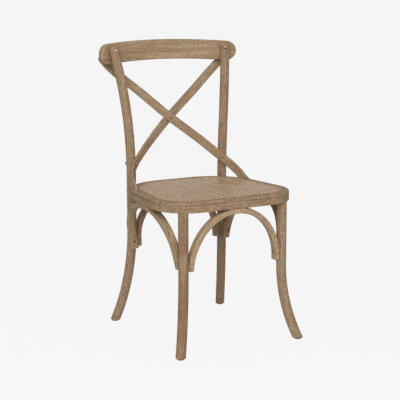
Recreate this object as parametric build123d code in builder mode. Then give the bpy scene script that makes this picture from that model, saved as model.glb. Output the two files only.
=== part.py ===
from build123d import *
import os
from math import asin, cos, degrees, hypot, radians, sin, sqrt

# Cross-back bentwood dining chair with a woven rattan seat.
# Millimetres, +Z up, the chair faces -Y, origin on the floor in the middle of its box.

# Overall
overall_height = 888.0  # floor to the crown of the crest rail
fit_gap = 0.1  # clearance round tenons, bolts, screws and the seat spline

# Seat outline: a trapezium with rounded corners
seat_height = 450.5
seat_front_width = 474.0  # between the side lines, at the front
seat_rear_width = 395.0  # between the side lines, at the rear
seat_depth = 400.0
seat_middle_y = -29.0  # puts the origin in the middle of the chair's box
front_corner_radius = 110.0
rear_corner_radius = 152.0

# Seat rim, spline and panel
rim_height = 32.0
rim_width = 36.0
rim_top_round = 6.5
rim_foot_round = 2.5
bead_drop = 9.0  # top of the rim to the top of the bead groove
bead_width = 2.4
bead_depth = 1.6
border_width = 24.0  # plain wood round the panel
rebate_depth = 6.0
spline_width = 5.0
spline_height = 6.6
spline_round = 1.6
panel_thickness = 5.0

# Legs
front_leg_diameter = 30.0
rear_leg_diameter = 29.0
leg_foot_round = 2.5
upright_top_round = 7.0
head_room = 30.0  # cleared above the seat of a bolt or screw head
leg_overrun = 25.0  # below the floor, before the feet are cut level
glide_height = 3.0
glide_diameter = 22.0
glide_round = 1.0
front_leg_angle = -56.5  # seen from the front corner's centre, from +X
front_leg_proud = 1.2  # of the leg beyond the rim
front_flare_height = 229.0
front_flare_out = 35.4
front_flare_forward = 45.2
tenon_diameter = 20.0
tenon_length = 23.0
rear_leg_angle = 50.5
rear_leg_housing = 4.2  # depth of the rim's seat in the rear leg
rear_flare_height = 312.0
rear_flare_out = 32.5
rear_flare_back = 65.8
waist_height = 640.0
waist_out = 7.3
waist_back = 3.3
upright_top_drop = 15.0  # crown of the crest to the upright's end
upright_top_out = 36.5
upright_top_back = 44.5
seam_angle = -20.0  # keeps the start of a leg's round surface clear of its holes
upright_tip = (0.16, 0.31, 1.0)  # way the right-hand upright points at its top

# Crest rail
crest_length = 480.0
crest_height = 62.0
crest_thickness = 23.0
crest_radius = 545.0  # of its middle line, in plan
crest_crown = 8.0  # rise of its middle line from end to middle
crest_lap = 3.0  # depth of the crest's seat in the uprights
crest_edge_round = 5.0

# Cross slats
slat_width = 27.0
slat_thickness = 8.0
slat_steps = 18  # sections that shape a slat
slat_round = 2.5
slat_foot_angle = 14.8  # seen from the rear corner's centre, from +X
slat_foot_inset = 13.0  # rim's edge to the slat's middle
slat_tenon = 18.0  # length let into the rim, along the slat
slat_knee_bulge = 8.8
slat_bolt_rise = 63.5  # above the top of the seat
slat_bolt_angle = 231.0  # way the right-hand slat bolt faces, from +X
slat_housing = 2.5  # depth of the slat's seat in the upright
slat_low_bow = 4.4  # backward, between the bolt and the crossing
slat_low_rise = 2.5
slat_high_bow = 0.3  # backward, between the crossing and the crest
cross_height = 644.6
cross_y = 195.2
slat_crest_reach = 199.0  # sideways to where the slat meets the crest
slat_crest_drop = 75.0  # below the crown of the crest
slat_end_reach = 229.0
slat_end_drop = 45.0  # below the crown of the crest

# Brace arches
front_arch_height = 173.5  # foot of the arch to the rim
side_arch_height = 168.5
rear_arch_height = 166.5
arch_corner_radius = 144.0  # outer; the front arch is half an ellipse instead
arch_thickness = 17.0  # in the arch's plane
arch_depth = 24.0  # across it
arch_round = 4.5
arch_end_round = 2.5
arch_cope = 1.8  # depth of the leg's seat in the arch
arch_setback = 1.5  # from the rim's outer side
arch_top_flat = 2.4  # planed off under the rim
arch_screw_rise = 24.0  # arch end to its screw

# Dome bolts, cap nuts and screws
bolt_diameter = 6.0
bolt_head_diameter = 11.5
bolt_head_height = 3.6
bolt_sink = 1.2  # depth of the head's seat in a round leg
cross_head_diameter = 10.0
cross_head_height = 3.2
slat_sink = 0.5  # depth of a head's seat in a slat
nut_diameter = 9.0
nut_height = 4.0
nut_wall = 1.5  # over the end of the bolt
crest_bolt_drop = 28.0  # below the crown of the crest
seat_bolt_drop = 20.0  # below the top of the seat
washer_diameter = 14.0
washer_thickness = 1.5
washer_sink = 0.4  # depth of its seat in the rim's hollow side
seat_nut_height = 5.0
seat_nut_across = 10.0
screw_diameter = 4.0
screw_head_diameter = 7.6
screw_head_height = 2.4
screw_recess = 3.4
leg_bite = 11.0  # of a screw in a leg
rim_bite = 18.0  # of a screw in the rim
crest_bite = 15.0  # of a screw in the crest
slat_head_height = 2.2

# Worked out from the sizes above
front_radius = front_leg_diameter / 2
rear_radius = rear_leg_diameter / 2
rim_bottom = seat_height - rim_height
panel_bottom = seat_height - rebate_depth
upright_top_height = overall_height - upright_top_drop
crest_bolt_height = overall_height - crest_bolt_drop
slat_crest_height = overall_height - slat_crest_drop
slat_end_height = overall_height - slat_end_drop
slat_bolt_height = seat_height + slat_bolt_rise
front_arch_end_height = rim_bottom - front_arch_height
side_arch_end_height = rim_bottom - side_arch_height
rear_arch_end_height = rim_bottom - rear_arch_height
front_y = seat_middle_y - seat_depth / 2
rear_y = seat_middle_y + seat_depth / 2
half_front = seat_front_width / 2
half_rear = seat_rear_width / 2
side_slope = (half_rear - half_front) / seat_depth
LOW = (Align.CENTER, Align.CENTER, Align.MIN)
HIGH = (Align.CENTER, Align.CENTER, Align.MAX)


def corner_centre(radius, corner_y):
    """Centre of a seat corner: tangent to the side line."""
    side_x = half_front + side_slope * (corner_y - front_y)
    return Vector(side_x - radius * sqrt(1 + side_slope**2), corner_y, 0)


def around(centre, distance, angle, height=0.0):
    """Point at a distance and angle round a centre, at a height."""
    turn = radians(angle)
    return Vector(centre.X + distance * cos(turn), centre.Y + distance * sin(turn), height)


def heading(angle):
    """Level unit vector at an angle from +X."""
    return around(Vector(0, 0, 0), 1.0, angle)


def mirrored(point):
    """Point or direction on the other side of the chair."""
    return Vector(-point.X, point.Y, point.Z)


def at_height(point, height):
    """The same plan position at another height."""
    return Vector(point.X, point.Y, height)


def between(first, last, share):
    """Point part of the way from the first to the last."""
    return first + (last - first) * share


def flare_point(axis, start_height, out, along, height):
    """Point of a leg's flare, a level-topped arc that spreads by (out, along) at the floor."""
    spread = hypot(out, along)
    radius = (start_height**2 + spread**2) / (2 * spread)
    reach = radius - sqrt(radius**2 - (start_height - height) ** 2)
    return Vector(axis.X + out * reach / spread, axis.Y + along * reach / spread, height)


def point_at_height(path, height):
    """Point of a steadily rising or falling path at a height."""
    low, high = (0.0, 1.0) if (path @ 1).Z > (path @ 0).Z else (1.0, 0.0)
    for _ in range(50):
        middle = (low + high) / 2
        if (path @ middle).Z < height:
            low = middle
        else:
            high = middle
    return path @ middle


def seat_outline(inset=0.0):
    """Seat outline, moved inward by the inset."""
    with BuildSketch(Plane.XY, mode=Mode.PRIVATE) as outline:
        with BuildLine():
            Polyline(
                (half_front, front_y),
                (half_rear, rear_y),
                (-half_rear, rear_y),
                (-half_front, front_y),
                close=True,
            )
        make_face()
        fillet(outline.vertices().group_by(Axis.Y)[0], front_corner_radius)
        fillet(outline.vertices().group_by(Axis.Y)[-1], rear_corner_radius)
        if inset:
            offset(amount=-inset, mode=Mode.REPLACE)
    return outline.sketch


def dome(diameter, height):
    """Spherical cap standing on the work plane."""
    ball = ((diameter / 2) ** 2 + height**2) / (2 * height)
    with Locations((0, 0, height - ball)):
        Sphere(ball, arc_size1=degrees(asin((ball - height) / ball)), align=None)


def dome_bolt(length, diameter, head_diameter, head_height):
    """Dome-headed bolt: head above the work plane, shank below."""
    Cylinder(diameter / 2, length, align=HIGH)
    dome(head_diameter, head_height)


def cap_nut(bolt_end):
    """Domed nut standing on the work plane, with a blind bore for the bolt's end."""
    Cylinder(nut_diameter / 2, nut_height, align=LOW)
    with Locations((0, 0, nut_height)):
        dome(nut_diameter, nut_diameter / 3)
    Cylinder(bolt_diameter / 2 + fit_gap, bolt_end + fit_gap, align=LOW, mode=Mode.SUBTRACT)


def bore(planes, length, diameter, head_diameter):
    """Hole below each plane, with room for the head above it."""
    with Locations(*planes):
        Cylinder(diameter / 2 + fit_gap, length, align=HIGH, mode=Mode.SUBTRACT)
        Cylinder(head_diameter / 2 + fit_gap, head_room, align=LOW, mode=Mode.SUBTRACT)


def both_sides(origin, direction):
    """Planes facing a direction on the right and, mirrored, on the left."""
    right = Plane(origin=origin, z_dir=direction)
    left = Plane(origin=mirrored(origin), z_dir=mirrored(direction))
    return [right, left]


# Where the legs stand
front_corner = corner_centre(front_corner_radius, front_y + front_corner_radius)
rear_corner = corner_centre(rear_corner_radius, rear_y - rear_corner_radius)
front_leg_offset = front_corner_radius + front_leg_proud - front_radius
front_axis = around(front_corner, front_leg_offset, front_leg_angle)
rear_leg_offset = rear_corner_radius + rear_radius - rear_leg_housing
rear_axis = around(rear_corner, rear_leg_offset, rear_leg_angle)
rear_facing = heading(rear_leg_angle)
front_flare = (front_axis, front_flare_height, front_flare_out, -front_flare_forward)
rear_flare = (rear_axis, rear_flare_height, rear_flare_out, rear_flare_back)

# Middle line of a rear leg: flared foot, straight shank, upright that leans out and back
with BuildLine() as rear_leg_line:
    rear_flare_top = at_height(rear_axis, rear_flare_height)
    shank_top = at_height(rear_axis, seat_height)
    waist = Vector(rear_axis.X + waist_out, rear_axis.Y + waist_back, waist_height)
    upright_top = Vector(
        rear_axis.X + upright_top_out, rear_axis.Y + upright_top_back, upright_top_height
    )
    TangentArc(rear_flare_top, flare_point(*rear_flare, -leg_overrun), tangent=(0, 0, -1))
    Line(rear_flare_top, shank_top)
    Spline(shank_top, waist, upright_top, tangents=[(0, 0, 1), upright_tip])
rear_leg_path = rear_leg_line.wire()
seam_facing = heading(seam_angle)

# Crest rail: seated on both uprights, so its bend's centre follows from them
crest_bolt_point = point_at_height(rear_leg_path, crest_bolt_height)
crest_standoff = rear_radius - crest_lap + crest_thickness / 2
crest_bend_y = crest_bolt_point.Y - sqrt(
    (crest_radius - crest_standoff) ** 2 - crest_bolt_point.X**2
)
crest_bend = Vector(0, crest_bend_y, 0)
crest_facing = (crest_bend - at_height(crest_bolt_point, 0)).normalized()
crest_back_radius = crest_radius + crest_thickness / 2
crest_middle_height = overall_height - crest_height / 2
crest_slot_reach = (crest_length - crest_height) / 2

# Cross slats: sections carried from the rim, past an upright, over the crossing, to the crest
bolt_axis_point = point_at_height(rear_leg_path, slat_bolt_height)
slat_bolt_facing = heading(slat_bolt_angle)
slat_bolt_middle = bolt_axis_point + slat_bolt_facing * (
    rear_radius - slat_housing + slat_thickness / 2
)
cross_facing = Vector(0, -1, 0)
cross_point = Vector(0, cross_y, cross_height)


def crest_back_point(reach, height, clear):
    """Point behind the crest on the left, and the way to the middle of the crest's bend."""
    radius = crest_back_radius + clear
    point = Vector(-reach, crest_bend_y + sqrt(radius**2 - reach**2), height)
    return point, (crest_bend - at_height(point, 0)).normalized()


def slat_stations(layer):
    """Middles and facings of a slat whose foot is on the right; layer is 1 in front."""
    foot_offset = rear_corner_radius - slat_foot_inset
    foot = around(rear_corner, foot_offset, slat_foot_angle, seat_height)
    foot_facing = heading(slat_foot_angle) * -1
    knee_facing = (foot_facing + slat_bolt_facing).normalized()
    knee = between(foot, slat_bolt_middle, 0.5) - knee_facing * slat_knee_bulge
    tenon_end = foot + (foot - knee).normalized() * slat_tenon
    crossing = cross_point + cross_facing * (layer * slat_thickness / 2)
    low_facing = between(slat_bolt_facing, cross_facing, 0.4).normalized()
    low = between(slat_bolt_middle, crossing, 0.4) - low_facing * slat_low_bow
    low = at_height(low, low.Z + slat_low_rise)
    meet, meet_facing = crest_back_point(slat_crest_reach, slat_crest_height, slat_thickness / 2)
    end, end_facing = crest_back_point(slat_end_reach, slat_end_height, slat_thickness / 2)
    high = between(crossing, meet, 0.55) - meet_facing * slat_high_bow
    return [
        (tenon_end, foot_facing),
        (foot, foot_facing),
        (knee, knee_facing),
        (slat_bolt_middle, slat_bolt_facing),
        (low, low_facing),
        (crossing, cross_facing),
        (high, meet_facing),
        (meet, meet_facing),
        (end, end_facing),
    ]


def slat_sections(stations):
    """Rounded rectangles at even steps along a slat's smooth middle line, for the loft."""
    with BuildLine(mode=Mode.PRIVATE) as middle_line:
        run = Spline(*[middle for middle, facing in stations])
    marks = [run.param_at_point(middle) for middle, facing in stations]
    sections = []
    for step in range(slat_steps + 1):
        place = step / slat_steps
        span = sum(mark <= place for mark in marks[1:-1])
        share = (place - marks[span]) / (marks[span + 1] - marks[span])
        facing = between(stations[span][1], stations[span + 1][1], share)
        ahead = run % place
        across = Plane(origin=run @ place, x_dir=ahead.cross(facing), z_dir=ahead)
        with BuildSketch(across, mode=Mode.PRIVATE) as section:
            RectangleRounded(slat_width, slat_thickness, slat_round)
        sections.append(section.sketch)
    return sections


# Planes of the bolts and screws: each stands where a head seats, facing out
crest_bolt_planes = both_sides(
    crest_bolt_point + crest_facing * (rear_radius - bolt_sink), crest_facing
)
crest_bolt_grip = rear_radius - bolt_sink + rear_radius - crest_lap + crest_thickness
crest_nut_planes = both_sides(
    crest_bolt_point - crest_facing * (rear_radius - crest_lap + crest_thickness),
    crest_facing * -1,
)
slat_bolt_planes = both_sides(
    slat_bolt_middle + slat_bolt_facing * (slat_thickness / 2 - slat_sink), slat_bolt_facing
)
slat_nut_planes = both_sides(
    bolt_axis_point - slat_bolt_facing * (rear_radius - bolt_sink), slat_bolt_facing * -1
)
slat_bolt_grip = slat_thickness - slat_sink - slat_housing + 2 * rear_radius - bolt_sink
cross_bolt_plane = Plane(
    origin=cross_point + cross_facing * (slat_thickness - slat_sink), z_dir=cross_facing
)
cross_nut_plane = Plane(
    origin=cross_point - cross_facing * (slat_thickness - slat_sink),
    z_dir=cross_facing * -1,
)
cross_bolt_grip = 2 * (slat_thickness - slat_sink)
seat_bolt_height = seat_height - seat_bolt_drop
seat_bolt_axis = at_height(rear_axis, seat_bolt_height)
seat_bolt_planes = both_sides(
    seat_bolt_axis + rear_facing * (rear_radius - bolt_sink), rear_facing
)
rim_inner_offset = rear_radius - rear_leg_housing + rim_width - washer_sink
washer_planes = both_sides(seat_bolt_axis - rear_facing * rim_inner_offset, rear_facing * -1)
seat_nut_planes = both_sides(
    seat_bolt_axis - rear_facing * (rim_inner_offset + washer_thickness), rear_facing * -1
)
seat_bolt_grip = rear_radius - bolt_sink + rim_inner_offset + washer_thickness
slat_screw_point, slat_screw_inward = crest_back_point(
    (slat_crest_reach + slat_end_reach) / 2,
    (slat_crest_height + slat_end_height) / 2,
    slat_thickness - slat_sink,
)
slat_screw_planes = both_sides(slat_screw_point, slat_screw_inward * -1)
slat_screw_length = slat_thickness - slat_sink + crest_bite
bolt_in_nut = nut_height + nut_diameter / 3 - nut_wall

# Blanks that other pieces are scribed to
with BuildPart() as crest_block:
    with BuildSketch():
        with Locations(crest_bend):
            Circle(crest_back_radius)
            Circle(crest_radius - crest_thickness / 2, mode=Mode.SUBTRACT)
    extrude(amount=overall_height)
    with BuildSketch(Plane.XZ):
        with BuildLine(mode=Mode.PRIVATE) as crown_line:
            ThreePointArc(
                (-crest_slot_reach, crest_middle_height - crest_crown),
                (0, crest_middle_height),
                (crest_slot_reach, crest_middle_height - crest_crown),
            )
        SlotArc(crown_line.edge(), crest_height)
    extrude(amount=-2 * crest_radius, mode=Mode.INTERSECT)
    fillet(crest_block.faces().sort_by(SortBy.AREA)[-2:].edges(), crest_edge_round)

with BuildPart() as rim_block:
    with BuildSketch(Plane.XY.offset(rim_bottom)):
        add(seat_outline())
    extrude(amount=rim_height)
    fillet(rim_block.faces().sort_by(Axis.Z)[-1].edges(), rim_top_round)
    fillet(rim_block.faces().sort_by(Axis.Z)[0].edges(), rim_foot_round)

with BuildPart() as rear_leg_blank:
    with BuildSketch(Plane(rear_leg_path @ 0, x_dir=seam_facing, z_dir=rear_leg_path % 0)):
        Circle(rear_radius)
    sweep(path=rear_leg_path)
    split(bisect_by=Plane.XY.offset(glide_height))
    fillet(rear_leg_blank.edges().sort_by(Axis.Z)[0], leg_foot_round)
    add(crest_block.part, mode=Mode.SUBTRACT)
    upright_end = rear_leg_blank.faces().sort_by(Axis.Z)[-1]
    fillet(upright_end.edges().sort_by(SortBy.LENGTH)[-1], upright_top_round)
    add(rim_block.part, mode=Mode.SUBTRACT)

with BuildPart() as crest_rail:
    add(crest_block.part)
    bore(crest_bolt_planes, crest_bolt_grip, bolt_diameter, bolt_head_diameter)
    bore(slat_screw_planes, slat_screw_length, screw_diameter, screw_head_diameter)

with BuildPart() as cross_slat_front:
    loft(slat_sections(slat_stations(1)))
    add(crest_block.part, mode=Mode.SUBTRACT)
    bore(slat_bolt_planes, slat_bolt_grip, bolt_diameter, bolt_head_diameter)
    bore([cross_bolt_plane], cross_bolt_grip, bolt_diameter, cross_head_diameter)
    bore(slat_screw_planes, slat_screw_length, screw_diameter, screw_head_diameter)

with BuildPart() as rear_slat_blank:
    loft(slat_sections(slat_stations(-1)))

with BuildPart() as cross_slat_rear:
    mirror(rear_slat_blank.part, about=Plane.YZ)
    add(crest_block.part, mode=Mode.SUBTRACT)
    add(cross_slat_front.part, mode=Mode.SUBTRACT)
    bore(slat_bolt_planes, slat_bolt_grip, bolt_diameter, bolt_head_diameter)
    bore([cross_nut_plane], cross_bolt_grip, bolt_diameter, nut_diameter)
    bore(slat_screw_planes, slat_screw_length, screw_diameter, screw_head_diameter)


# Brace arches: each leans from its two legs out to the rim above
class ArchFrame:
    """Plane, size and screw planes of one brace arch."""

    def __init__(self, first_leg, last_leg, rim_point, end_height, elliptical=False):
        first_axis, first_radius = first_leg
        last_axis, last_radius = last_leg
        along = (last_axis - first_axis).normalized()
        first_side = first_axis + along * (first_radius - arch_cope)
        last_side = last_axis - along * (last_radius - arch_cope)
        low_middle = at_height(between(first_side, last_side, 0.5), end_height)
        up = at_height(rim_point, rim_bottom) - low_middle
        up = up - along * up.dot(along)
        self.elliptical = elliptical
        self.plane = Plane(origin=low_middle, x_dir=along, z_dir=along.cross(up))
        self.half_span = (last_side - first_side).length / 2 - arch_thickness / 2
        self.rise = up.length + arch_top_flat - arch_thickness / 2

    def place(self, across, height):
        """Point of the arch's plane."""
        return self.plane.from_local_coords(Vector(across, height, 0))

    def end_screw_planes(self):
        """Seats of the two end screws, in their recesses on the inner faces."""
        seat = self.half_span - arch_thickness / 2 + screw_recess
        first = Plane(origin=self.place(-seat, arch_screw_rise), z_dir=self.plane.x_dir)
        last = Plane(origin=self.place(seat, arch_screw_rise), z_dir=self.plane.x_dir * -1)
        return [first, last]

    def top_screw_plane(self):
        """Seat of the screw that goes up into the rim."""
        under = self.place(0, self.rise - arch_thickness / 2)
        return Plane(origin=under + Vector(0, 0, screw_recess), z_dir=(0, 0, -1))


end_screw_length = arch_thickness - screw_recess - arch_cope + leg_bite
top_screw_length = arch_thickness - screw_recess - arch_top_flat + rim_bite
arch_inset = arch_setback + arch_depth / 2
middle_y = (front_axis.Y + rear_axis.Y) / 2
side_rim_x = half_front + side_slope * (middle_y - front_y) - arch_inset
right_front, left_front = (front_axis, front_radius), (mirrored(front_axis), front_radius)
right_rear, left_rear = (rear_axis, rear_radius), (mirrored(rear_axis), rear_radius)
front_rim_point = Vector(0, front_y + arch_inset, 0)
rear_rim_point = Vector(0, rear_y - arch_inset, 0)
right_rim_point = Vector(side_rim_x, middle_y, 0)
left_rim_point = mirrored(right_rim_point)
arch_frames = {
    "front_arch": ArchFrame(
        left_front, right_front, front_rim_point, front_arch_end_height, elliptical=True
    ),
    "left_arch": ArchFrame(left_rear, left_front, left_rim_point, side_arch_end_height),
    "right_arch": ArchFrame(right_front, right_rear, right_rim_point, side_arch_end_height),
    "rear_arch": ArchFrame(right_rear, left_rear, rear_rim_point, rear_arch_end_height),
}
end_screw_planes = [p for frame in arch_frames.values() for p in frame.end_screw_planes()]
top_screw_planes = [frame.top_screw_plane() for frame in arch_frames.values()]

with BuildPart() as seat_rim:
    add(rim_block.part)
    with BuildSketch(Plane.XY.offset(seat_height - bead_drop)):
        add(seat_outline())
        add(seat_outline(bead_depth), mode=Mode.SUBTRACT)
    extrude(amount=-bead_width, mode=Mode.SUBTRACT)
    with BuildSketch(Plane.XY.offset(rim_bottom)):
        add(seat_outline(rim_width))
    extrude(amount=rim_height, mode=Mode.SUBTRACT)
    with BuildSketch(Plane.XY.offset(panel_bottom)):
        add(seat_outline(border_width))
    extrude(amount=rebate_depth, mode=Mode.SUBTRACT)
    with Locations(at_height(front_axis, rim_bottom), at_height(left_front[0], rim_bottom)):
        Cylinder(
            tenon_diameter / 2 + fit_gap,
            tenon_length + fit_gap,
            align=LOW,
            mode=Mode.SUBTRACT,
        )
    add(cross_slat_front.part, mode=Mode.SUBTRACT)
    add(cross_slat_rear.part, mode=Mode.SUBTRACT)
    bore(seat_bolt_planes, seat_bolt_grip, bolt_diameter, bolt_head_diameter)
    bore(washer_planes, rim_width, bolt_diameter, washer_diameter)
    bore(top_screw_planes, top_screw_length, screw_diameter, screw_head_diameter)

with BuildPart() as panel_spline:
    with BuildSketch(Plane.XY.offset(panel_bottom)):
        add(seat_outline(border_width + fit_gap))
        add(seat_outline(border_width + spline_width - fit_gap), mode=Mode.SUBTRACT)
    extrude(amount=spline_height)
    fillet(panel_spline.faces().sort_by(Axis.Z)[-1].edges(), spline_round)

with BuildPart() as seat_panel:
    with BuildSketch(Plane.XY.offset(panel_bottom)):
        add(seat_outline(border_width + spline_width))
    extrude(amount=panel_thickness)

with BuildPart() as front_leg_right:
    with BuildLine() as front_leg_line:
        front_flare_top = at_height(front_axis, front_flare_height)
        Line(at_height(front_axis, rim_bottom), front_flare_top)
        TangentArc(
            front_flare_top, flare_point(*front_flare, -leg_overrun), tangent=(0, 0, -1)
        )
    front_leg_path = front_leg_line.wire()
    with BuildSketch(Plane(origin=front_leg_path @ 0, z_dir=front_leg_path % 0)):
        Circle(front_radius)
    sweep(path=front_leg_path)
    split(bisect_by=Plane.XY.offset(glide_height))
    fillet(front_leg_right.edges().sort_by(Axis.Z)[0], leg_foot_round)
    with Locations(at_height(front_axis, rim_bottom)):
        Cylinder(tenon_diameter / 2, tenon_length, align=LOW)
    bore(end_screw_planes, end_screw_length, screw_diameter, screw_head_diameter)

with BuildPart() as front_leg_left:
    mirror(front_leg_right.part, about=Plane.YZ)


def finish_rear_leg():
    """Slat's seat and holes of a rear leg, cut into the blank that was just added."""
    add(cross_slat_front.part, mode=Mode.SUBTRACT)
    add(cross_slat_rear.part, mode=Mode.SUBTRACT)
    bore(crest_bolt_planes, crest_bolt_grip, bolt_diameter, bolt_head_diameter)
    bore(slat_bolt_planes, slat_bolt_grip, bolt_diameter, bolt_head_diameter)
    bore(slat_nut_planes, slat_bolt_grip, bolt_diameter, nut_diameter)
    bore(seat_bolt_planes, seat_bolt_grip, bolt_diameter, bolt_head_diameter)
    bore(end_screw_planes, end_screw_length, screw_diameter, screw_head_diameter)


with BuildPart() as rear_leg_right:
    add(rear_leg_blank.part)
    finish_rear_leg()

with BuildPart() as rear_leg_left:
    mirror(rear_leg_blank.part, about=Plane.YZ)
    finish_rear_leg()

legs = [front_leg_left, front_leg_right, rear_leg_left, rear_leg_right]


def make_arch(frame):
    """Bent rod along the arch, planed under the rim, coped to the legs and drilled."""
    with BuildPart() as arch:
        with BuildLine(frame.plane) as arch_line:
            if frame.elliptical:
                EllipticalCenterArc((0, 0), frame.half_span, frame.rise, arc_size=180)
            else:
                FilletPolyline(
                    (-frame.half_span, 0),
                    (-frame.half_span, frame.rise),
                    (frame.half_span, frame.rise),
                    (frame.half_span, 0),
                    radius=arch_corner_radius - arch_thickness / 2,
                )
        arch_path = arch_line.wire()
        end_plane = Plane(
            origin=arch_path @ 0, x_dir=frame.plane.x_dir, z_dir=frame.plane.y_dir
        )
        with BuildSketch(end_plane):
            RectangleRounded(arch_thickness, arch_depth, arch_round)
        sweep(path=arch_path)
        fillet(arch.faces().sort_by(Axis.Z)[:2].edges(), arch_end_round)
        split(bisect_by=Plane.XY.offset(rim_bottom), keep=Keep.BOTTOM)
        for leg in legs:
            add(leg.part, mode=Mode.SUBTRACT)
        bore(
            frame.end_screw_planes(), end_screw_length, screw_diameter, screw_head_diameter
        )
        bore(
            [frame.top_screw_plane()], top_screw_length, screw_diameter, screw_head_diameter
        )
    return arch


arches = {
    name: make_arch(frame) for name, frame in arch_frames.items() if name != "right_arch"
}
with BuildPart() as right_arch:
    mirror(arches["left_arch"].part, about=Plane.YZ)
arches["right_arch"] = right_arch

with BuildPart(*crest_bolt_planes) as crest_bolts:
    dome_bolt(crest_bolt_grip + bolt_in_nut, bolt_diameter, bolt_head_diameter, bolt_head_height)

with BuildPart(*crest_nut_planes) as crest_nuts:
    cap_nut(bolt_in_nut)

with BuildPart(*slat_bolt_planes) as slat_bolts:
    dome_bolt(slat_bolt_grip + bolt_in_nut, bolt_diameter, bolt_head_diameter, bolt_head_height)

with BuildPart(*slat_nut_planes) as slat_nuts:
    cap_nut(bolt_in_nut)

with BuildPart(cross_bolt_plane) as cross_bolt:
    dome_bolt(
        cross_bolt_grip + bolt_in_nut, bolt_diameter, cross_head_diameter, cross_head_height
    )

with BuildPart(cross_nut_plane) as cross_nut:
    cap_nut(bolt_in_nut)

with BuildPart(*seat_bolt_planes) as seat_bolts:
    dome_bolt(
        seat_bolt_grip + seat_nut_height, bolt_diameter, bolt_head_diameter, bolt_head_height
    )

with BuildPart(*washer_planes) as seat_washers:
    Cylinder(washer_diameter / 2, washer_thickness, align=LOW)
    Cylinder(
        bolt_diameter / 2 + fit_gap, washer_thickness, align=LOW, mode=Mode.SUBTRACT
    )

with BuildPart(*seat_nut_planes) as seat_nuts:
    with BuildSketch(*seat_nut_planes):
        RegularPolygon(seat_nut_across / 2, 6, major_radius=False)
        Circle(bolt_diameter / 2 + fit_gap, mode=Mode.SUBTRACT)
    extrude(amount=seat_nut_height)

with BuildPart(*end_screw_planes) as arch_end_screws:
    Cylinder(screw_diameter / 2, end_screw_length, align=HIGH)
    Cylinder(screw_head_diameter / 2, screw_head_height, align=LOW)

with BuildPart(*top_screw_planes) as arch_top_screws:
    Cylinder(screw_diameter / 2, top_screw_length, align=HIGH)
    Cylinder(screw_head_diameter / 2, screw_head_height, align=LOW)

with BuildPart(*slat_screw_planes) as slat_top_screws:
    dome_bolt(slat_screw_length, screw_diameter, screw_head_diameter, slat_head_height)

front_glide = flare_point(*front_flare, glide_height)
rear_glide = flare_point(*rear_flare, glide_height)
with BuildPart() as leg_glides:
    for glide in (front_glide, mirrored(front_glide), rear_glide, mirrored(rear_glide)):
        with Locations(at_height(glide, 0)):
            Cylinder(glide_diameter / 2, glide_height, align=LOW)
    fillet(leg_glides.edges().group_by(Axis.Z)[0], glide_round)

pieces = {
    "rear_leg_left": rear_leg_left,
    "rear_leg_right": rear_leg_right,
    "front_leg_left": front_leg_left,
    "front_leg_right": front_leg_right,
    "crest_rail": crest_rail,
    "cross_slat_front": cross_slat_front,
    "cross_slat_rear": cross_slat_rear,
    "seat_rim": seat_rim,
    "seat_panel": seat_panel,
    "panel_spline": panel_spline,
    "crest_bolts": crest_bolts,
    "crest_nuts": crest_nuts,
    "slat_bolts": slat_bolts,
    "slat_nuts": slat_nuts,
    "cross_bolt": cross_bolt,
    "cross_nut": cross_nut,
    "seat_bolts": seat_bolts,
    "seat_washers": seat_washers,
    "seat_nuts": seat_nuts,
    "arch_end_screws": arch_end_screws,
    "arch_top_screws": arch_top_screws,
    "slat_top_screws": slat_top_screws,
    "leg_glides": leg_glides,
    **arches,
}
os.makedirs("parts", exist_ok=True)
for name, piece in pieces.items():
    piece.part.label = name
    export_step(piece.part, f"parts/{name}.step")
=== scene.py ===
"""Looks of a bentwood cross-back chair with a woven rattan seat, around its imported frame."""

import logging
import math
from dataclasses import dataclass
from enum import Enum

import bpy
import numpy as np
from mathutils import Matrix, Vector

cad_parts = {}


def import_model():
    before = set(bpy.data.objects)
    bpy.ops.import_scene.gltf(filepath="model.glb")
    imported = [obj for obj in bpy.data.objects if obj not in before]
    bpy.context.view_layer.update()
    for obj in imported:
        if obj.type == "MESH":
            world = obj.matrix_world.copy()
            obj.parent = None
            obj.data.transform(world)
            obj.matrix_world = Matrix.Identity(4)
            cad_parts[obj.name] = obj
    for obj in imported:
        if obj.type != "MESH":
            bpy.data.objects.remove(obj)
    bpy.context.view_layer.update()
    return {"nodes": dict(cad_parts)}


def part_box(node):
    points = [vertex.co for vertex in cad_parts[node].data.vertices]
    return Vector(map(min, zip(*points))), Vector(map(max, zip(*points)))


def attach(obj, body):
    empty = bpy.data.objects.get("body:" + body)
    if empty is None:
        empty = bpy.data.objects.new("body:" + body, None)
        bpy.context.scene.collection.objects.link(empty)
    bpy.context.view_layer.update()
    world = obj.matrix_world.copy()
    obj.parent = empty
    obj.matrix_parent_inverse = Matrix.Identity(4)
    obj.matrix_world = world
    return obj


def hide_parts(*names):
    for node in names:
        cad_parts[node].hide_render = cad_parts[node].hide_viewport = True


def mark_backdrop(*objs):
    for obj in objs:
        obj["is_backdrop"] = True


LOG = logging.getLogger("chair")
Colour = tuple[float, float, float, float]
Point = tuple[float, float, float]
Feed = bpy.types.NodeSocket | float | tuple


def shade(red: int, green: int, blue: int) -> Colour:
    """Turn a colour written in 0 to 255 screen values into the linear values of a shader.

    Args:
        red: red part.
        green: green part.
        blue: blue part.

    Returns:
        The colour with full alpha.
    """
    parts = np.array([red, green, blue]) / 255
    linear = np.where(parts <= 0.04045, parts / 12.92, ((parts + 0.055) / 1.055) ** 2.4)
    return (float(linear[0]), float(linear[1]), float(linear[2]), 1.0)


@dataclass(frozen=True)
class Layer:
    """One layer of noise: features to the metre, finer layers added, and their strength."""

    scale: float
    detail: float
    roughness: float = 0.5


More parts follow.
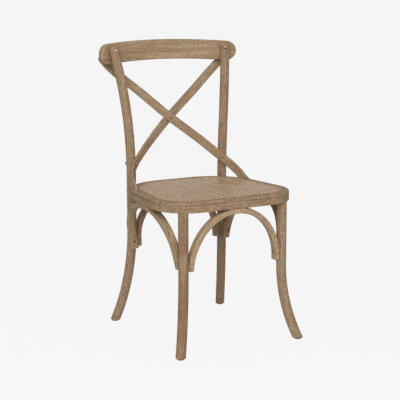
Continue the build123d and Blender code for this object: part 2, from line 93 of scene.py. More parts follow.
OAK_PALE = shade(178, 152, 122)
OAK_DARK = shade(120, 95, 69)
OAK_RED = shade(147, 107, 80)
OAK_OLIVE = shade(142, 126, 97)
OAK_RUBBED = shade(196, 174, 147)
OAK_FLECK = shade(82, 60, 43)
RATTAN_PALE = shade(234, 198, 153)
RATTAN_BROWN = shade(184, 139, 97)
RATTAN_GREY = shade(207, 173, 132)
# Darkest rattan colour: used for painted shade in the weave and for real stains
RATTAN_DEEP = shade(78, 52, 31)

# Oak: layers, stretches along the grain, shifts between layers, and limits of each shade
OAK_FIBRES = Layer(560.0, 4.0, 0.65)
OAK_BANDS = Layer(110.0, 2.0)
OAK_RED_PATCHES = Layer(17.0, 2.0)
OAK_OLIVE_PATCHES = Layer(23.0, 2.0)
OAK_SPECKS = Layer(420.0, 3.0, 0.6)
OAK_RUBS = Layer(330.0, 3.0, 0.65)
OAK_LONG = (1.0, 1.0, 0.05)
OAK_SHORT = (1.0, 1.0, 0.28)
OLIVE_SHIFT = (0.31, 0.17, 0.53)
RUB_SHIFT = (0.7, 0.2, 0.4)
OAK_FIBRE_SHARE = 0.6
STREAK_LIMITS = (0.34, 0.66)
RED_LIMITS = (0.38, 0.66)
OLIVE_LIMITS = (0.42, 0.68)
RUB_LIMITS = (0.54, 0.68, 0.5)
FLECK_LIMITS = (0.52, 0.66, 0.7)
FLECK_DEPTH = 0.5
OAK_ROUGH_LIMITS = (0.2, 0.8)
OAK_ROUGHNESS = (0.7, 1.0)

# Rattan: layers, stretch along the fibres, and shares of its shades
RATTAN_FIBRES = Layer(1500.0, 3.0, 0.6)
RATTAN_PATCHES = Layer(26.0, 3.0, 0.6)
RATTAN_LONG = (1.0, 1.0, 0.04)
RATTAN_FIBRE_SHARE = 0.45
RATTAN_LIMITS = (0.36, 0.64)
RATTAN_ROUGH_LIMITS = (0.1, 0.9, 0.85)
RATTAN_TONE_SHARE = 0.55
# Share of the painted weave shade, with random wear, in the darkening
RATTAN_SHADE_AND_WEAR_SHARE = 0.8

# Aged metal and plastic: layers, and limits of its clouds
AGE_CLOUDS = Layer(420.0, 3.0, 0.6)
AGE_PITS = Layer(1800.0, 2.0)
AGE_LIMITS = (0.35, 0.65)
AGE_ROUGH_LIMITS = (0.3, 0.7)
AGE_ROUGHNESS = (0.28, 0.55)

FLOOR_GRAIN = Layer(60.0, 2.0)
MATT_GLOSS = 0.25
CLOSE = 1e-6


class Board:
    """A node tree with short calls that add nodes and join their sockets."""

    def __init__(self, tree: bpy.types.NodeTree) -> None:
        """Keep the tree that the nodes go into."""
        self.tree = tree

    def feed(self, socket: bpy.types.NodeSocket, value: Feed) -> None:
        """Link a socket to another, or set its plain value.

        Args:
            socket: the input to fill.
            value: an output socket, a number or a tuple.
        """
        if isinstance(value, bpy.types.NodeSocket):
            self.tree.links.new(value, socket)
        else:
            socket.default_value = value

    def add(self, kind: str, inputs: dict[str | int, Feed], **settings: object) -> bpy.types.Node:
        """Add one node.

        Args:
            kind: the node's type name.
            inputs: values or sockets by input name or number.
            settings: the node's own options.

        Returns:
            The new node.
        """
        node = self.tree.nodes.new(kind)
        for name, value in settings.items():
            setattr(node, name, value)
        for name, value in inputs.items():
            self.feed(node.inputs[name], value)
        return node

    def maths(
        self, operation: str, first: Feed, second: Feed = 0.0, clamp: bool = False
    ) -> bpy.types.NodeSocket:
        """Add a Math node.

        Args:
            operation: its operation.
            first: first value.
            second: second value.
            clamp: whether the result stays between 0 and 1.

        Returns:
            The result's socket.
        """
        inputs = {0: first, 1: second}
        return self.add("ShaderNodeMath", inputs, operation=operation, use_clamp=clamp).outputs[0]

    def vectors(self, operation: str, first: Feed, second: Feed) -> bpy.types.NodeSocket:
        """Add a Vector Math node.

        Args:
            operation: its operation.
            first: first vector.
            second: second vector.

        Returns:
            The resulting vector's socket.
        """
        inputs = {0: first, 1: second}
        return self.add("ShaderNodeVectorMath", inputs, operation=operation).outputs[0]

    def weigh(self, share: float, first: Feed, second: Feed) -> bpy.types.NodeSocket:
        """Add a share of one value to the rest of another.

        Args:
            share: how much of the first.
            first: first value.
            second: second value.

        Returns:
            The sum's socket.
        """
        rest = self.maths("MULTIPLY", second, 1 - share)
        return self.maths("ADD", self.maths("MULTIPLY", first, share), rest)

    def noise(self, place: Feed, layer: Layer) -> bpy.types.NodeSocket:
        """Add a three-dimensional noise.

        Args:
            place: where it is read.
            layer: its scale, detail and roughness.

        Returns:
            The noise value's socket.
        """
        inputs = {"Vector": place, "Scale": layer.scale, "Detail": layer.detail}
        inputs["Roughness"] = layer.roughness
        return self.add("ShaderNodeTexNoise", inputs).outputs[0]

    def spread(
        self, value: Feed, low: float, high: float, top: float = 1.0
    ) -> bpy.types.NodeSocket:
        """Map a value between two limits smoothly to 0 and a top value.

        Args:
            value: the value to map.
            low: the value that gives 0.
            high: the value that gives the top.
            top: the greatest result.

        Returns:
            The mapped value's socket.
        """
        inputs = {"Value": value, "From Min": low, "From Max": high, "To Max": top}
        node = self.add("ShaderNodeMapRange", inputs, interpolation_type="SMOOTHSTEP")
        return node.outputs[0]

    def ramp(
        self, value: Feed, limits: tuple[float, float], results: tuple[float, float]
    ) -> bpy.types.NodeSocket:
        """Map a value between two limits evenly to two results.

        Args:
            value: the value to map.
            limits: the values that give the first and the second result.
            results: the two results.

        Returns:
            The mapped value's socket.
        """
        inputs = {"Value": value, "From Min": limits[0], "From Max": limits[1]}
        inputs |= {"To Min": results[0], "To Max": results[1]}
        return self.add("ShaderNodeMapRange", inputs).outputs[0]

    def blend(self, share: Feed, first: Feed, second: Feed) -> bpy.types.NodeSocket:
        """Mix two colours.

        Args:
            share: how much of the second.
            first: first colour.
            second: second colour.

        Returns:
            The mixed colour's socket.
        """
        inputs = {0: share, 6: first, 7: second}
        return self.add("ShaderNodeMix", inputs, data_type="RGBA").outputs[2]


class Effect:
    """A shader node group that several finishes share."""

    def __init__(self, name: str, inputs: dict[str, str], outputs: dict[str, str]) -> None:
        """Make an empty group with named sockets.

        Args:
            name: the group's name.
            inputs: socket kinds by name.
            outputs: socket kinds by name.
        """
        self.group = bpy.data.node_groups.new(name, "ShaderNodeTree")
        for label, kind in inputs.items():
            self.group.interface.new_socket(name=label, in_out="INPUT", socket_type=kind)
        for label, kind in outputs.items():
            self.group.interface.new_socket(name=label, in_out="OUTPUT", socket_type=kind)
        self.board = Board(self.group)
        self.taken = self.group.nodes.new("NodeGroupInput").outputs
        self.given = self.group.nodes.new("NodeGroupOutput").inputs

    def give(self, label: str, value: bpy.types.NodeSocket) -> None:
        """Join a result to one of the group's outputs."""
        self.board.feed(self.given[label], value)

    def place(self, board: Board, inputs: dict[str, Feed]) -> bpy.types.Node:
        """Put the group into a material.

        Args:
            board: the material's node board.
            inputs: values or sockets by name.

        Returns:
            The group's node.
        """
        return board.add("ShaderNodeGroup", inputs, node_tree=self.group)


FLOAT, VECTOR, COLOUR = "NodeSocketFloat", "NodeSocketVector", "NodeSocketColor"


def bend_effect() -> Effect:
    """Make the group that straightens a bent member: radius, height and length along the bend.

    Returns:
        The group; its Z runs along the bend, as angle times the bend's radius.
    """
    effect = Effect("straighten_bend", {"Vector": VECTOR, "Radius": FLOAT}, {"Vector": VECTOR})
    board = effect.board
    parts = board.add("ShaderNodeSeparateXYZ", {0: effect.taken["Vector"]}).outputs
    angle = board.maths("ARCTAN2", parts["Y"], parts["X"])
    along = board.maths("MULTIPLY", angle, effect.taken["Radius"])
    squares = [board.maths("POWER", parts[label], 2.0) for label in ("X", "Y")]
    radius = board.maths("SQRT", board.maths("ADD", *squares))
    straight = {0: radius, 1: parts["Z"], 2: along}
    effect.give("Vector", board.add("ShaderNodeCombineXYZ", straight).outputs[0])
    return effect


def oak_effect() -> Effect:
    """Make the group of weathered oak: fibres, bands, coloured patches, flecks and pale rubs.

    Returns:
        The group; grain runs along Z of its Vector.
    """
    effect = Effect(
        "weathered_oak",
        {label: FLOAT for label in ("Seed", "Red", "Grey", "Tone", "Fleck")} | {"Vector": VECTOR},
        {"Color": COLOUR, "Roughness": FLOAT, "Height": FLOAT},
    )
    board = effect.board
    seed = board.add("ShaderNodeCombineXYZ", {k: effect.taken["Seed"] for k in range(3)}).outputs[0]
    place = board.vectors("ADD", effect.taken["Vector"], seed)
    long_place = board.vectors("MULTIPLY", place, OAK_LONG)
    short_place = board.vectors("MULTIPLY", place, OAK_SHORT)
    fibres = board.noise(long_place, OAK_FIBRES)
    bands = board.noise(long_place, OAK_BANDS)
    patches = board.noise(place, OAK_RED_PATCHES)
    olive = board.noise(board.vectors("ADD", place, OLIVE_SHIFT), OAK_OLIVE_PATCHES)
    specks = board.noise(short_place, OAK_SPECKS)
    rubs = board.noise(board.vectors("ADD", short_place, RUB_SHIFT), OAK_RUBS)
    streak = board.weigh(OAK_FIBRE_SHARE, fibres, bands)
    colour = board.blend(board.spread(streak, *STREAK_LIMITS), OAK_DARK, OAK_PALE)
    red_share = board.maths("MULTIPLY", board.spread(patches, *RED_LIMITS), effect.taken["Red"])
    colour = board.blend(red_share, colour, OAK_RED)
    grey_share = board.maths("MULTIPLY", board.spread(olive, *OLIVE_LIMITS), effect.taken["Grey"])
    colour = board.blend(grey_share, colour, OAK_OLIVE)
    colour = board.blend(board.spread(rubs, *RUB_LIMITS), colour, OAK_RUBBED)
    dark = board.maths("MULTIPLY", board.spread(specks, *FLECK_LIMITS), effect.taken["Fleck"])
    tone = board.add("ShaderNodeCombineXYZ", {k: effect.taken["Tone"] for k in range(3)}).outputs[0]
    effect.give("Color", board.vectors("MULTIPLY", board.blend(dark, colour, OAK_FLECK), tone))
    effect.give("Roughness", board.ramp(streak, OAK_ROUGH_LIMITS, OAK_ROUGHNESS))
    hollow = board.maths("MULTIPLY", dark, FLECK_DEPTH)
    effect.give("Height", board.maths("SUBTRACT", streak, hollow))
    return effect


def age_effect() -> Effect:
    """Make the group of aged metal or plastic: cloudy tone and roughness, and fine pits.

    Returns:
        The group.
    """
    effect = Effect(
        "aged_surface",
        {"Vector": VECTOR, "Clean": COLOUR, "Dull": COLOUR},
        {"Color": COLOUR, "Roughness": FLOAT, "Height": FLOAT},
    )
    board = effect.board
    clouds = board.noise(effect.taken["Vector"], AGE_CLOUDS)
    dull = board.spread(clouds, *AGE_LIMITS)
    effect.give("Color", board.blend(dull, effect.taken["Clean"], effect.taken["Dull"]))
    effect.give("Roughness", board.ramp(clouds, AGE_ROUGH_LIMITS, AGE_ROUGHNESS))
    effect.give("Height", board.noise(effect.taken["Vector"], AGE_PITS))
    return effect


def rattan_effect() -> Effect:
    """Make the group of split rattan: long fibres, and pale, brown and grey patches.

    Returns:
        The group; fibres run along Z of its Vector. Tone varies from strip to strip. The strip
        value after it is painted shade, rising towards the gaps of the weave, with random wear
        added. The last input darkens a whole piece: a real stain, or painted shade.
    """
    effect = Effect(
        "split_rattan",
        {"Vector": VECTOR, "Tone": FLOAT, "Depth": FLOAT, "StainAndShade": FLOAT},
        {"Color": COLOUR, "Roughness": FLOAT, "Height": FLOAT},
    )
    board = effect.board
    long_place = board.vectors("MULTIPLY", effect.taken["Vector"], RATTAN_LONG)
    fibres = board.noise(long_place, RATTAN_FIBRES)
    patches = board.noise(effect.taken["Vector"], RATTAN_PATCHES)
    grain = board.weigh(RATTAN_FIBRE_SHARE, fibres, patches)
    colour = board.blend(board.spread(grain, *RATTAN_LIMITS), RATTAN_BROWN, RATTAN_PALE)
    grey = board.maths("MULTIPLY", effect.taken["Tone"], RATTAN_TONE_SHARE)
    colour = board.blend(grey, colour, RATTAN_GREY)
    # Painted shade at the weave's gaps and under-passes, with random wear, plus the whole piece's
    # stain or painted shade, darken the colour
    shade_and_wear = board.maths("MULTIPLY", effect.taken["Depth"], RATTAN_SHADE_AND_WEAR_SHARE)
    shade_wear_and_stain = board.maths("ADD", shade_and_wear, effect.taken["StainAndShade"], clamp=True)
    effect.give("Color", board.blend(shade_wear_and_stain, colour, RATTAN_DEEP))
    effect.give("Roughness", board.spread(grain, *RATTAN_ROUGH_LIMITS))
    effect.give("Height", fibres)
    return effect


class Run(Enum):
    """How the grain of a member runs."""

    STRAIGHT = "along one direction"
    BENT = "round a centre"


@dataclass(frozen=True)
class Grain:
    """Where a member's grain runs.

    For a straight member, axis is the grain's direction. For a bent one it is the axis of the
    bend, and top points from the centre to the middle of the bend.
    """

    run: Run
    axis: Point
    top: Point = (0.0, 0.0, 1.0)
    centre: Point = (0.0, 0.0, 0.0)
    radius: float = 1.0

    def turn(self) -> Point:
        """Find the turn that brings Z onto the axis and X towards the top.

        Returns:
            Euler angles.
        """
        along = Vector(self.axis).normalized()
        side = along.cross(Vector(self.top))
        if side.length < CLOSE:
            side = along.cross(Vector((1.0, 0.3, 0.2)))
        side.normalize()
        top = side.cross(along)
        angles = Matrix((top, side, along)).transposed().to_euler()
        return (angles.x, angles.y, angles.z)


@dataclass(frozen=True)
class OakFinish:
    """Weathered oak, matt, with its grain along a member."""

    name: str
    grain: Grain
    seed: float
    red: float = 0.55
    grey: float = 0.5
    tone: float = 1.0
    fleck: float = 1.0

    def material(self, effects: dict[str, Effect]) -> bpy.types.Material:
        """Make the material.

        Args:
            effects: the shared groups by name.

        Returns:
            The material.
        """
        material, board, shader = blank_material(self.name, MATT_GLOSS)
        inputs = {"Vector": object_place(board), "Rotation": self.grain.turn()}
        inputs["Location"] = self.grain.centre
        place = board.add("ShaderNodeMapping", inputs, vector_type="TEXTURE").outputs[0]
        if self.grain.run is Run.BENT:
            inputs = {"Vector": place, "Radius": self.grain.radius}
            place = effects["bend"].place(board, inputs).outputs[0]
        inputs = {"Vector": place, "Seed": self.seed, "Red": self.red, "Grey": self.grey}
        inputs |= {"Tone": self.tone, "Fleck": self.fleck}
        wood = effects["oak"].place(board, inputs).outputs
        dress_shader(board, shader, wood, bump=0.35, depth=0.0006)
        return material


@dataclass(frozen=True)
class RattanFinish:
    """Split rattan, with fibres along one direction and lacquer over them."""

    name: str
    along: Point
    # How much darker the whole piece is made: a real stain on the spline, painted shade on the
    # side-to-side strips of the weave
    stain_and_shade: float
    strips: bool = False
    tone: float = 0.3
    lacquer: float = 0.0
    lacquer_roughness: float = 0.06

    def material(self, effects: dict[str, Effect]) -> bpy.types.Material:
        """Make the material.

        Args:
            effects: the shared groups by name.

        Returns:
            The material.
        """
        material, board, shader = blank_material(self.name, MATT_GLOSS)
        shader.inputs["Coat Weight"].default_value = self.lacquer
        shader.inputs["Coat Roughness"].default_value = self.lacquer_roughness
        turn = Grain(Run.STRAIGHT, self.along).turn()
        inputs = {"Vector": object_place(board), "Rotation": turn}
        place = board.add("ShaderNodeMapping", inputs, vector_type="TEXTURE").outputs[0]
        inputs = {"Vector": place, "Tone": self.tone, "Depth": 0.0, "StainAndShade": self.stain_and_shade}
        if self.strips:
            for label, name in (("Tone", WovenSeat.TONE), ("Depth", WovenSeat.SHADE_AND_WEAR)):
                reader = board.add("ShaderNodeAttribute", {}, attribute_name=name)
                inputs[label] = reader.outputs["Fac"]
        cane = effects["rattan"].place(board, inputs).outputs
        dress_shader(board, shader, cane, bump=0.25, depth=0.0003)
        return material


@dataclass(frozen=True)
class AgedFinish:
    """Metal or plastic that has aged: cloudy, with fine pits."""

    name: str
    clean: Colour
    dull: Colour
    metallic: float

    def material(self, effects: dict[str, Effect]) -> bpy.types.Material:
        """Make the material.

        Args:
            effects: the shared groups by name.

        Returns:
            The material.
        """
        material, board, shader = blank_material(self.name)
        shader.inputs["Metallic"].default_value = self.metallic
        inputs = {"Vector": object_place(board), "Clean": self.clean, "Dull": self.dull}
        aged = effects["age"].place(board, inputs).outputs
        dress_shader(board, shader, aged, bump=0.15, depth=0.0002)
        return material


def blank_material(
    name: str, gloss: float = 0.5
) -> tuple[bpy.types.Material, Board, bpy.types.Node]:
    """Make a material with one shader.

    Args:
        name: its name.
        gloss: how strongly it reflects.

    Returns:
        The material, its node board and its shader node.
    """
    material = bpy.data.materials.new(name)
    material.use_nodes = True
    shader = material.node_tree.nodes["Principled BSDF"]
    shader.inputs["Specular IOR Level"].default_value = gloss
    return material, Board(material.node_tree), shader


def object_place(board: Board) -> bpy.types.NodeSocket:
    """Add Object coordinates and return their socket."""
    return board.add("ShaderNodeTexCoord", {}).outputs["Object"]


def dress_shader(
    board: Board, shader: bpy.types.Node, results: object, bump: float, depth: float
) -> None:
    """Join an effect's colour, roughness and height to a shader.

    Args:
        board: the material's node board.
        shader: its shader node.
        results: the effect's outputs.
        bump: strength of the bump.
        depth: its depth in metres.
    """
    board.feed(shader.inputs["Base Color"], results["Color"])
    board.feed(shader.inputs["Roughness"], results["Roughness"])
    inputs = {"Strength": bump, "Distance": depth, "Height": results["Height"]}
    board.feed(shader.inputs["Normal"], board.add("ShaderNodeBump", inputs).outputs[0])


def dress(node: bpy.types.Object, material: bpy.types.Material) -> None:
    """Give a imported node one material.

    Args:
        node: the node's object.
        material: what its slots get.
    """
    if not node.material_slots:
        node.data.materials.append(material)
    for slot in node.material_slots:
        slot.material = material


def middle(node: str) -> Vector:
    """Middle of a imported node's box, in metres."""
    low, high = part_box(node)
    return (Vector(low) + Vector(high)) / 2


@dataclass
class Backrest:
    """Crest rail, crossed slats and the two rear legs that run up to them."""

    crest_bend: float = 0.545
    crest_half: float = 0.0115
    slat_slope: float = 40.6
    slat_lean: float = 0.1
    upright_out: float = 0.07
    upright_back: float = 0.06

    def finishes(self) -> dict[str, OakFinish]:
        """Choose the finish of each wooden node.

        Returns:
            Finishes by node name.
        """
        back_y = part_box("crest_rail")[1][1]
        centre = (0.0, back_y - self.crest_half - self.crest_bend, 0.0)
        crest = Grain(Run.BENT, (0.0, 0.0, 1.0), (0.0, 1.0, 0.0), centre, self.crest_bend)
        slope = math.radians(self.slat_slope)
        falling = Grain(Run.STRAIGHT, (-math.cos(slope), self.slat_lean, math.sin(slope)))
        rising = Grain(Run.STRAIGHT, (math.cos(slope), self.slat_lean, math.sin(slope)))
        left = Grain(Run.STRAIGHT, (-self.upright_out, self.upright_back, 1.0))
        right = Grain(Run.STRAIGHT, (self.upright_out, self.upright_back, 1.0))
        return {
            "crest_rail": OakFinish(
                "oak_crest", crest, seed=0.0, red=0.3, grey=0.65, tone=1.04, fleck=0.85
            ),
            "cross_slat_front": OakFinish(
                "oak_slat_front", falling, seed=1.3, red=0.35, grey=0.55, tone=0.97, fleck=0.6
            ),
            "cross_slat_rear": OakFinish(
                "oak_slat_rear", rising, seed=2.1, red=0.4, grey=0.55, tone=0.95, fleck=0.6
            ),
            "rear_leg_left": OakFinish(
                "oak_rear_leg_left", left, seed=3.7, red=0.45, grey=0.75, tone=0.91
            ),
            "rear_leg_right": OakFinish(
                "oak_rear_leg_right", right, seed=4.9, red=0.4, grey=0.7, tone=0.89
            ),
        }


@dataclass
class Underframe:
    """Front legs and the four bent arches."""

    arch_bend: float = 0.13

    def arch(self, node: str, axis: Point) -> Grain:
        """Grain that follows an arch.

        Args:
            node: the arch's node.
            axis: the level direction across the arch.

        Returns:
            Its grain, bent round a point between the arch's ends.
        """
        place = middle(node)
        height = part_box(node)[1][2] - self.arch_bend
        centre = (place.x, place.y, height)
        return Grain(Run.BENT, axis, (0.0, 0.0, 1.0), centre, self.arch_bend)

    def finishes(self) -> dict[str, OakFinish]:
        """Choose the finish of each wooden node.

        Returns:
            Finishes by node name.
        """
        upright = Grain(Run.STRAIGHT, (0.0, 0.0, 1.0))
        front = self.arch("front_arch", (0.0, 1.0, 0.0))
        rear = self.arch("rear_arch", (0.0, 1.0, 0.0))
        left = self.arch("left_arch", (1.0, 0.0, 0.0))
        right = self.arch("right_arch", (1.0, 0.0, 0.0))
        return {
            "front_leg_left": OakFinish(
                "oak_front_leg_left", upright, seed=5.3, red=1.0, grey=0.2, tone=0.79
            ),
            "front_leg_right": OakFinish(
                "oak_front_leg_right", upright, seed=6.1, red=0.4, grey=0.75, tone=0.95
            ),
            "front_arch": OakFinish(
                "oak_front_arch", front, seed=7.7, red=0.2, grey=0.9, tone=1.12
            ),
            "rear_arch": OakFinish("oak_rear_arch", rear, seed=8.3, red=0.6, grey=0.6),
            "left_arch": OakFinish("oak_left_arch", left, seed=9.2, red=0.4, grey=0.7),
            "right_arch": OakFinish("oak_right_arch", right, seed=10.4, red=0.6, grey=0.6),
        }


@dataclass
class WovenSeat:
    """The rim's finish and the rattan panel, woven from single strips.

    The weave is a twill of two over and two under, each strip one step further than the one
    beside it, so that its lines run from the front left to the back right.
    """

    TONE = "strip_tone"
    SHADE_AND_WEAR = "strip_painted_shade_and_wear"
    RING_ACROSS = (-0.5, -0.36, 0.0, 0.36, 0.5)
    RING_UP = (-0.5, 0.32, 0.5, 0.32, -0.5)
    # Painted shade across a ring, darkest at its two low edges, and extra painted shade where a
    # strip passes under
    RING_SHADOW = (0.8, 0.1, 0.0, 0.1, 0.8)
    UNDER_SHADOW = 0.5
    # Random darkening from wear, up to this much per strip; real tone, not shade
    WEAR_DARKENING = 0.2
    SHORTEST = 4
    LEVEL = 1e-9
    # Layers: axis across the strips, name, fibre direction, and how much darker the whole layer is
    # made. The side-to-side darkening is painted shade: both directions are the same rattan, lit
    # differently.
    LAYERS = (
        (0, "weave_front_to_back", (0.0, 1.0, 0.0), 0.0),
        (1, "weave_side_to_side", (1.0, 0.0, 0.0), 0.62),
    )

    effects: dict[str, Effect]
    pitch: float = 0.0038
    width: float = 0.0036
    crown: float = 0.0009
    lift: float = 0.0008
    sink: float = 0.0005
    rim_bend: float = 0.2
    lacquer: float = 0.65
    seed: int = 11

    def rim_finish(self) -> OakFinish:
        """Choose the rim's finish, with its grain round the seat."""
        centre = middle("seat_rim")
        place = (centre.x, centre.y, centre.z)
        grain = Grain(Run.BENT, (0.0, 0.0, 1.0), (0.0, -1.0, 0.0), place, self.rim_bend)
        return OakFinish("oak_rim", grain, seed=12.6, red=0.25, grey=0.8, tone=0.87)

    def outline(self, panel: bpy.types.Object) -> np.ndarray:
        """Read the panel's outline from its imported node.

        Args:
            panel: the node's object.

        Returns:
            Outline points in order of their angle round the panel's middle, one row each.
        """
        flat = np.empty(len(panel.data.vertices) * 3)
        panel.data.vertices.foreach_get("co", flat)
        points = np.unique(flat.reshape(-1, 3)[:, :2].round(5), axis=0)
        centre = (points.min(0) + points.max(0)) / 2
        reach = np.hypot(*(points - centre).T)
        points = points[reach > 0.5 * reach.max()]
        order = np.argsort(np.arctan2(*(points - centre).T[::-1]))
        return points[order]

    def spans(
        self, outline: np.ndarray, places: np.ndarray, axis: int
    ) -> tuple[np.ndarray, np.ndarray]:
        """Find where lines across the outline start and end.

        Each line is cut with every side of the outline, and the lowest and highest cuts are kept.

        Args:
            outline: outline points in order.
            places: where the lines stand on the axis across them.
            axis: the axis across the lines, 0 or 1.

        Returns:
            Lowest and highest ends of the lines.
        """
        start, stop = outline, np.roll(outline, -1, axis=0)
        near, far = start[:, axis][None], stop[:, axis][None]
        reach = np.where(np.abs(far - near) < self.LEVEL, self.LEVEL, far - near)
        share = (places[:, None] - near) / reach
        cut = start[:, 1 - axis] + share * (stop - start)[:, 1 - axis]
        inside = (share >= 0) & (share <= 1)
        low = np.where(inside, cut, np.inf).min(1)
        high = np.where(inside, cut, -np.inf).max(1)
        return low, high

    def strips(self, name: str, outline: np.ndarray, axis: int, top: float) -> bpy.types.Object:
        """Weave the strips of one direction as closed five-sided ribbons.

        Strip i meets crossing strip j at the grid point (i, j). Its height there is the lift times
        the cosine of a quarter turn for each step between i and j, less half a step, so it lies two
        over and two under. Each ring has two low edges, two shoulders and a crown.

        Args:
            name: the piece's name.
            outline: the panel's outline.
            axis: the axis across the strips, 0 or 1.
            top: height of the weave's middle.

        Returns:
            The new piece.
        """
        low, high = outline.min(0), outline.max(0)
        centre = (low + high) / 2
        half = np.floor((high - low) / 2 / self.pitch).astype(int)
        across = np.arange(-half[axis], half[axis] + 1)
        beside = np.arange(-half[1 - axis] - 2, half[1 - axis] + 3)
        places = centre[axis] + across * self.pitch
        start, stop = self.spans(outline, places, axis)
        long = np.isfinite(start) & (stop - start > self.SHORTEST * self.pitch)
        across, places, start, stop = across[long], places[long], start[long], stop[long]
        side = 1 if axis == 0 else -1
        steps = side * (across[:, None] - beside[None])
        rise = side * self.lift * np.cos(np.pi / 2 * (steps - 0.5))
        run = centre[1 - axis] + beside[None] * self.pitch + np.zeros_like(steps)
        run = np.clip(run, start[:, None], stop[:, None])
        offset = np.array(self.RING_ACROSS) * self.width
        arch = np.array(self.RING_UP) * self.crown
        count, rings = run.shape
        points = np.empty((count, rings, len(offset), 3))
        points[..., axis] = places[:, None, None] + offset
        points[..., 1 - axis] = run[..., None]
        points[..., 2] = top + rise[..., None] + arch
        quads, caps = self.faces(run, flip=axis == 0)
        tones, wear = np.random.RandomState(self.seed + axis).rand(2, count)
        # Painted shade: darker at each ring's low edges and where the strip passes under, as shade
        # in the weave's gaps; random wear per strip is added
        depth = np.array(self.RING_SHADOW) + self.UNDER_SHADOW * (rise < 0)[..., None]
        depth = depth + self.WEAR_DARKENING * wear[:, None, None]
        values = {self.TONE: np.repeat(tones, rings * len(offset)), self.SHADE_AND_WEAR: depth.ravel()}
        return self.piece(name, points.reshape(-1, 3), quads, caps, values)

    def faces(self, run: np.ndarray, flip: bool) -> tuple[np.ndarray, np.ndarray]:
        """Join the rings of each strip, leaving out those squeezed together past its ends.

        Args:
            run: each ring's place along its strip, one row a strip.
            flip: whether the faces' corners are taken the other way round.

        Returns:
            Four-sided faces and five-sided ends, as point numbers.
        """
        count, rings = run.shape
        ring = len(self.RING_ACROSS)
        corner = np.arange(count * rings * ring).reshape(count, rings, ring)
        beside = np.roll(corner, -1, axis=2)
        live = np.diff(run, axis=1) > CLOSE
        sides = [corner[:, :-1], beside[:, :-1], beside[:, 1:], corner[:, 1:]]
        quads = np.stack(sides, -1)[live].reshape(-1, 4)
        first = np.argmax(live, axis=1)
        last = rings - 1 - np.argmax(live[:, ::-1], axis=1)
        rows = np.arange(count)
        caps = np.concatenate([corner[rows, first], corner[rows, last][:, ::-1]])
        if flip:
            quads, caps = quads[:, ::-1], caps[:, ::-1]
        return quads, caps

    def piece(
        self,
        name: str,
        points: np.ndarray,
        quads: np.ndarray,
        caps: np.ndarray,
        values: dict[str, np.ndarray],
    ) -> bpy.types.Object:
        """Put points and faces into a new mesh, leaving out points that no face uses.

        Args:
            name: the piece's name.
            points: corner places.
            quads: four-sided faces.
            caps: five-sided ends.
            values: numbers for each point, by attribute name.

        Returns:
            The new piece.
        """
        corners = np.concatenate([quads.ravel(), caps.ravel()])
        used, order = np.unique(corners, return_inverse=True)
        sides, ends = order[: quads.size], order[quads.size :]
        faces = sides.reshape(quads.shape).tolist() + ends.reshape(caps.shape).tolist()
        mesh = bpy.data.meshes.new(name)
        mesh.from_pydata(points[used].tolist(), [], faces)
        for label, numbers in values.items():
            mesh.attributes.new(label, "FLOAT", "POINT").data.foreach_set("value", numbers[used])
        mesh.polygons.foreach_set("use_smooth", np.ones(len(faces), dtype=bool))
        mesh.update()
        obj = bpy.data.objects.new(name, mesh)
        bpy.context.scene.collection.objects.link(obj)
        return obj

    def build(self, panel: bpy.types.Object) -> list[bpy.types.Object]:
        """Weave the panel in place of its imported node.

        Args:
            panel: the node's object.

        Returns:
            The pieces: strips from front to back, and strips from side to side.
        """
        outline = self.outline(panel)
        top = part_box("seat_panel")[1][2] - self.sink
        pieces = []
        for axis, name, along, stain_and_shade in self.LAYERS:
            piece = self.strips(name, outline, axis, top)
            finish = RattanFinish(f"rattan_{name}", along, stain_and_shade, True, lacquer=self.lacquer)
            piece.data.materials.append(finish.material(self.effects))
            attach(piece, "root")
            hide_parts("seat_panel")
            pieces.append(piece)
        return pieces


class Fasteners:
    """Domed bolts, cap nuts, washers, screws and glides."""

    def finishes(self) -> dict[str, AgedFinish]:
        """Choose the finish of each small node.

        Returns:
            Finishes by node name.
        """
        bolt = AgedFinish("aged_bolt_metal", shade(176, 168, 154), shade(112, 102, 89), 1.0)
        # Near-black screws: a dark screw finish, and painted shade of the recesses they sit in
        screw = AgedFinish("dark_screw_recess_shade", shade(38, 33, 28), shade(22, 18, 15), 0.2)
        glide = AgedFinish("glide_plastic", shade(70, 60, 50), shade(52, 45, 38), 0.0)
        nodes = {
            bolt: (
                "crest_bolts", "crest_nuts", "slat_bolts", "slat_nuts", "cross_bolt", "cross_nut",
                "seat_bolts", "seat_nuts", "seat_washers",
            ),
            screw: ("arch_end_screws", "arch_top_screws", "slat_top_screws"),
            glide: ("leg_glides",),
        }
        return {node: finish for finish, names in nodes.items() for node in names}


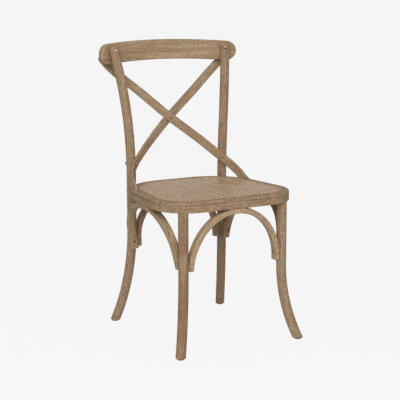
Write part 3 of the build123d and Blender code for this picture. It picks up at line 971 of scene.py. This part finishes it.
@dataclass
class Studio:
    """Pale floor, soft light and the camera of the photograph."""

    background: Colour = shade(246, 246, 246)
    floor_shade: Colour = shade(243, 243, 243)
    floor_roughness: float = 0.9
    floor_glow_colour: Colour = shade(247, 247, 247)
    floor_reach: float = 120.0
    floor_glow: float = 0.96
    sky: float = 0.47
    key_power: float = 110.0
    key_size: float = 2.6
    key_place: Point = (-1.6, -2.6, 2.4)
    key_target: Point = (0.0, 0.0, 0.5)
    camera_place: Point = (-1.716, -2.9887, 1.0598)
    camera_target: Point = (-0.0105, 0.0107, 0.4116)
    camera_roll: float = -0.0914
    focal_pixels: float = 1148.87
    picture_pixels: float = 400.0
    sensor_width: float = 36.0
    far_end: float = 400.0

    def seen(self, board: Board) -> bpy.types.NodeSocket:
        """Add the share of rays that see the background: from the camera, gloss or glass.

        Args:
            board: the tree's node board.

        Returns:
            1 for such a ray, 0 for others.
        """
        path = board.add("ShaderNodeLightPath", {}).outputs
        gloss = board.maths("ADD", path["Is Glossy Ray"], path["Is Transmission Ray"])
        return board.maths("ADD", path["Is Camera Ray"], gloss, clamp=True)

    def build_floor(self) -> bpy.types.Object:
        """Lay a level floor that looks as pale as the photograph's background.

        Returns:
            The floor.
        """
        corners = np.array([[-1, -1, 0], [1, -1, 0], [1, 1, 0], [-1, 1, 0]]) * self.floor_reach
        mesh = bpy.data.meshes.new("floor")
        mesh.from_pydata(corners.tolist(), [], [(0, 1, 2, 3)])
        floor = bpy.data.objects.new("floor", mesh)
        bpy.context.scene.collection.objects.link(floor)
        material, board, shader = blank_material("pale_floor")
        grain = board.noise(object_place(board), FLOOR_GRAIN)
        colour = board.blend(grain, self.floor_shade, self.background)
        board.feed(shader.inputs["Base Color"], colour)
        shader.inputs["Roughness"].default_value = self.floor_roughness
        glow = board.add("ShaderNodeEmission", {"Color": self.floor_glow_colour, "Strength": 1.0})
        share = board.maths("MULTIPLY", self.seen(board), self.floor_glow)
        parts = {0: share, 1: shader.outputs[0], 2: glow.outputs[0]}
        mixed = board.add("ShaderNodeMixShader", parts)
        end = material.node_tree.nodes["Material Output"]
        board.feed(end.inputs["Surface"], mixed.outputs[0])
        mesh.materials.append(material)
        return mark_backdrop(floor)

    def build_light(self) -> None:
        """Light the chair from all round, with a soft lamp above its front."""
        scene = bpy.context.scene
        scene.world = bpy.data.worlds.new("studio")
        scene.world.use_nodes = True
        board = Board(scene.world.node_tree)
        light = scene.world.node_tree.nodes["Background"]
        light.inputs["Color"].default_value = (1.0, 1.0, 1.0, 1.0)
        light.inputs["Strength"].default_value = self.sky
        pale = board.add("ShaderNodeBackground", {"Color": self.background, "Strength": 1.0})
        parts = {0: self.seen(board), 1: light.outputs[0], 2: pale.outputs[0]}
        mixed = board.add("ShaderNodeMixShader", parts)
        end = scene.world.node_tree.nodes["World Output"]
        board.feed(end.inputs["Surface"], mixed.outputs[0])
        lamp = bpy.data.lights.new("soft_key", "AREA")
        lamp.energy = self.key_power
        lamp.size = self.key_size
        key = bpy.data.objects.new("soft_key", lamp)
        scene.collection.objects.link(key)
        key.location = self.key_place
        back = Vector(self.key_place) - Vector(self.key_target)
        key.rotation_euler = back.to_track_quat("Z", "Y").to_euler()

    def build_camera(self) -> None:
        """Stand the camera where the photograph was taken, measured from the seat's middle."""
        lens = bpy.data.cameras.new("photo_camera")
        lens.sensor_width = self.sensor_width
        lens.lens = self.focal_pixels / self.picture_pixels * lens.sensor_width
        lens.clip_end = self.far_end
        camera = bpy.data.objects.new("photo_camera", lens)
        bpy.context.scene.collection.objects.link(camera)
        seat = Vector((0.0, middle("seat_rim").y, 0.0))
        place = Vector(self.camera_place) + seat
        back = place - (Vector(self.camera_target) + seat)
        roll = Matrix.Rotation(math.radians(self.camera_roll), 3, "Z")
        turn = back.to_track_quat("Z", "Y").to_matrix() @ roll
        camera.matrix_world = Matrix.Translation(place) @ turn.to_4x4()
        bpy.context.scene.camera = camera

    def build(self) -> None:
        """Build floor, light and camera."""
        bpy.context.scene.view_settings.view_transform = "Standard"
        self.build_camera()
        self.build_floor()
        self.build_light()


def main() -> None:
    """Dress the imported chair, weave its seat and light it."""
    logging.basicConfig(level=logging.INFO, format="%(message)s")
    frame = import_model()
    nodes = frame["nodes"]
    effects = {
        "bend": bend_effect(),
        "oak": oak_effect(),
        "age": age_effect(),
        "rattan": rattan_effect(),
    }
    Studio().build()
    seat = WovenSeat(effects)
    finishes = {
        **Backrest().finishes(),
        **Underframe().finishes(),
        **Fasteners().finishes(),
        "seat_rim": seat.rim_finish(),
        "panel_spline": RattanFinish("rattan_spline", (1.0, 0.0, 0.0), 0.5),
    }
    materials = {finish: finish.material(effects) for finish in dict.fromkeys(finishes.values())}
    for name, finish in finishes.items():
        dress(nodes[name], materials[finish])
        LOG.info("dressed %s as %s", name, finish.name)
    for piece in seat.build(nodes["seat_panel"]):
        LOG.info("wove %s: %d faces", piece.name, len(piece.data.polygons))


if __name__ == "__main__":
    main()
